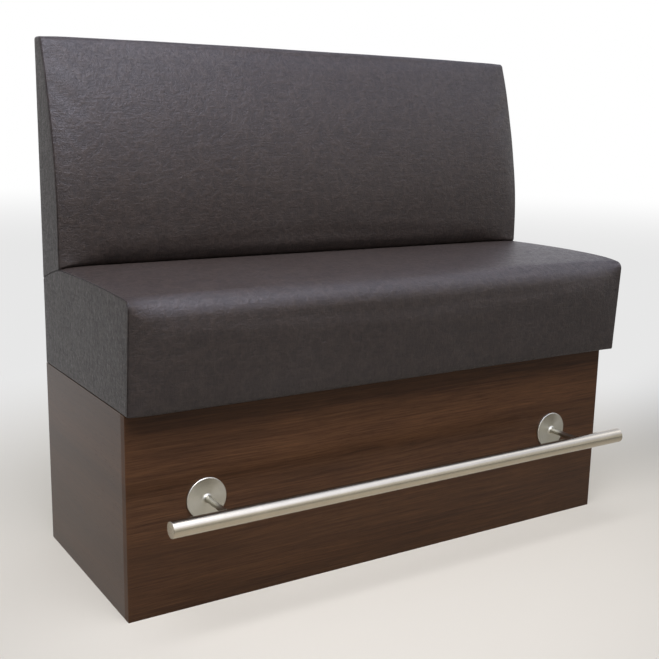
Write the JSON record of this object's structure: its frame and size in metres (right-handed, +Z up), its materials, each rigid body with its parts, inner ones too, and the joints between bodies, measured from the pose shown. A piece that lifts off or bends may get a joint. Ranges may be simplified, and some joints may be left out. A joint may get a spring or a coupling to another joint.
{
  "type": "restaurant booth bench",
  "caption": "Upholstered booth bench with a tapered back and a deep seat on a laminate plinth, with a brushed steel foot rail in front.",
  "frame": {"origin": "on the floor under the middle of the whole bench, foot rail included", "axes": "+X to the right as seen from the front, +Y back to the wall, +Z up"},
  "size_m": [1.214, 0.5868, 1.08],
  "materials": {
    "walnut_laminate": "satin dark walnut laminate, grain running across the bench",
    "carcass_board": "dark brown melamine board",
    "frame_timber": "bare plywood and timber",
    "foam": "upholstery foam and wadding",
    "leatherette": "dark grey-brown grained leatherette, low sheen",
    "black_lining": "black non-woven lining",
    "brushed_stainless": "brushed stainless steel",
    "zinc_steel": "bright zinc plated steel"
  },
  "bodies": {
    "bench": {"back_bottom_rail": "frame_timber", "back_cover_front": "leatherette", "back_cover_left": "leatherette", "back_cover_right": "leatherette", "back_facing_board": "frame_timber", "back_foam": "foam", "back_front_rail": "frame_timber", "back_middle_rail": "frame_timber", "back_rear_lining": "black_lining", "back_rib_1": "frame_timber", "back_rib_2": "frame_timber", "back_rib_3": "frame_timber", "back_rib_4": "frame_timber", "back_rib_5": "frame_timber", "back_top_rail": "frame_timber", "back_wadding_left": "foam", "back_wadding_right": "foam", "base_cleat_screws": "zinc_steel", "base_corner_cleats": "carcass_board", "base_divider": "carcass_board", "base_edge_bands": "walnut_laminate", "base_front_panel": "walnut_laminate", "base_left_panel": "walnut_laminate", "base_rear_panel": "carcass_board", "base_right_panel": "walnut_laminate", "base_top_front_rail": "carcass_board", "base_top_rear_rail": "carcass_board", "foot_rail_tube": "brushed_stainless", "leveller_blocks": "carcass_board", "leveller_inserts": "zinc_steel", "rail_disc_left": "brushed_stainless", "rail_disc_right": "brushed_stainless", "rail_end_cap_left": "brushed_stainless", "rail_end_cap_right": "brushed_stainless", "rail_nuts": "brushed_stainless", "rail_post_left": "brushed_stainless", "rail_post_right": "brushed_stainless", "rail_washers": "brushed_stainless", "rear_strap_screws": "zinc_steel", "rear_straps": "zinc_steel", "seat_coach_screws": "zinc_steel", "seat_cover_left": "leatherette", "seat_cover_right": "leatherette", "seat_cover_top": "leatherette", "seat_cross_rails": "frame_timber", "seat_deck": "frame_timber", "seat_frame_screws": "zinc_steel", "seat_front_foam": "foam", "seat_front_rail": "frame_timber", "seat_left_rail": "frame_timber", "seat_rear_lining": "black_lining", "seat_rear_rail": "frame_timber", "seat_right_rail": "frame_timber", "seat_top_foam": "foam", "seat_wadding_left": "foam", "seat_wadding_right": "foam"},
    "leveller_front_left": {"leveller_front_left": "zinc_steel"},
    "leveller_front_right": {"leveller_front_right": "zinc_steel"},
    "leveller_rear_left": {"leveller_rear_left": "zinc_steel"},
    "leveller_rear_right": {"leveller_rear_right": "zinc_steel"}
  },
  "joints": [
    {"name": "level_front_left", "type": "slide", "parent": "bench", "child": "leveller_front_left", "axis": [0, 0, -1], "range_m": [0, 0.015]},
    {"name": "level_front_right", "type": "slide", "parent": "bench", "child": "leveller_front_right", "axis": [0, 0, -1], "range_m": [0, 0.015]},
    {"name": "level_rear_left", "type": "slide", "parent": "bench", "child": "leveller_rear_left", "axis": [0, 0, -1], "range_m": [0, 0.015]},
    {"name": "level_rear_right", "type": "slide", "parent": "bench", "child": "leveller_rear_right", "axis": [0, 0, -1], "range_m": [0, 0.015]}
  ]
}
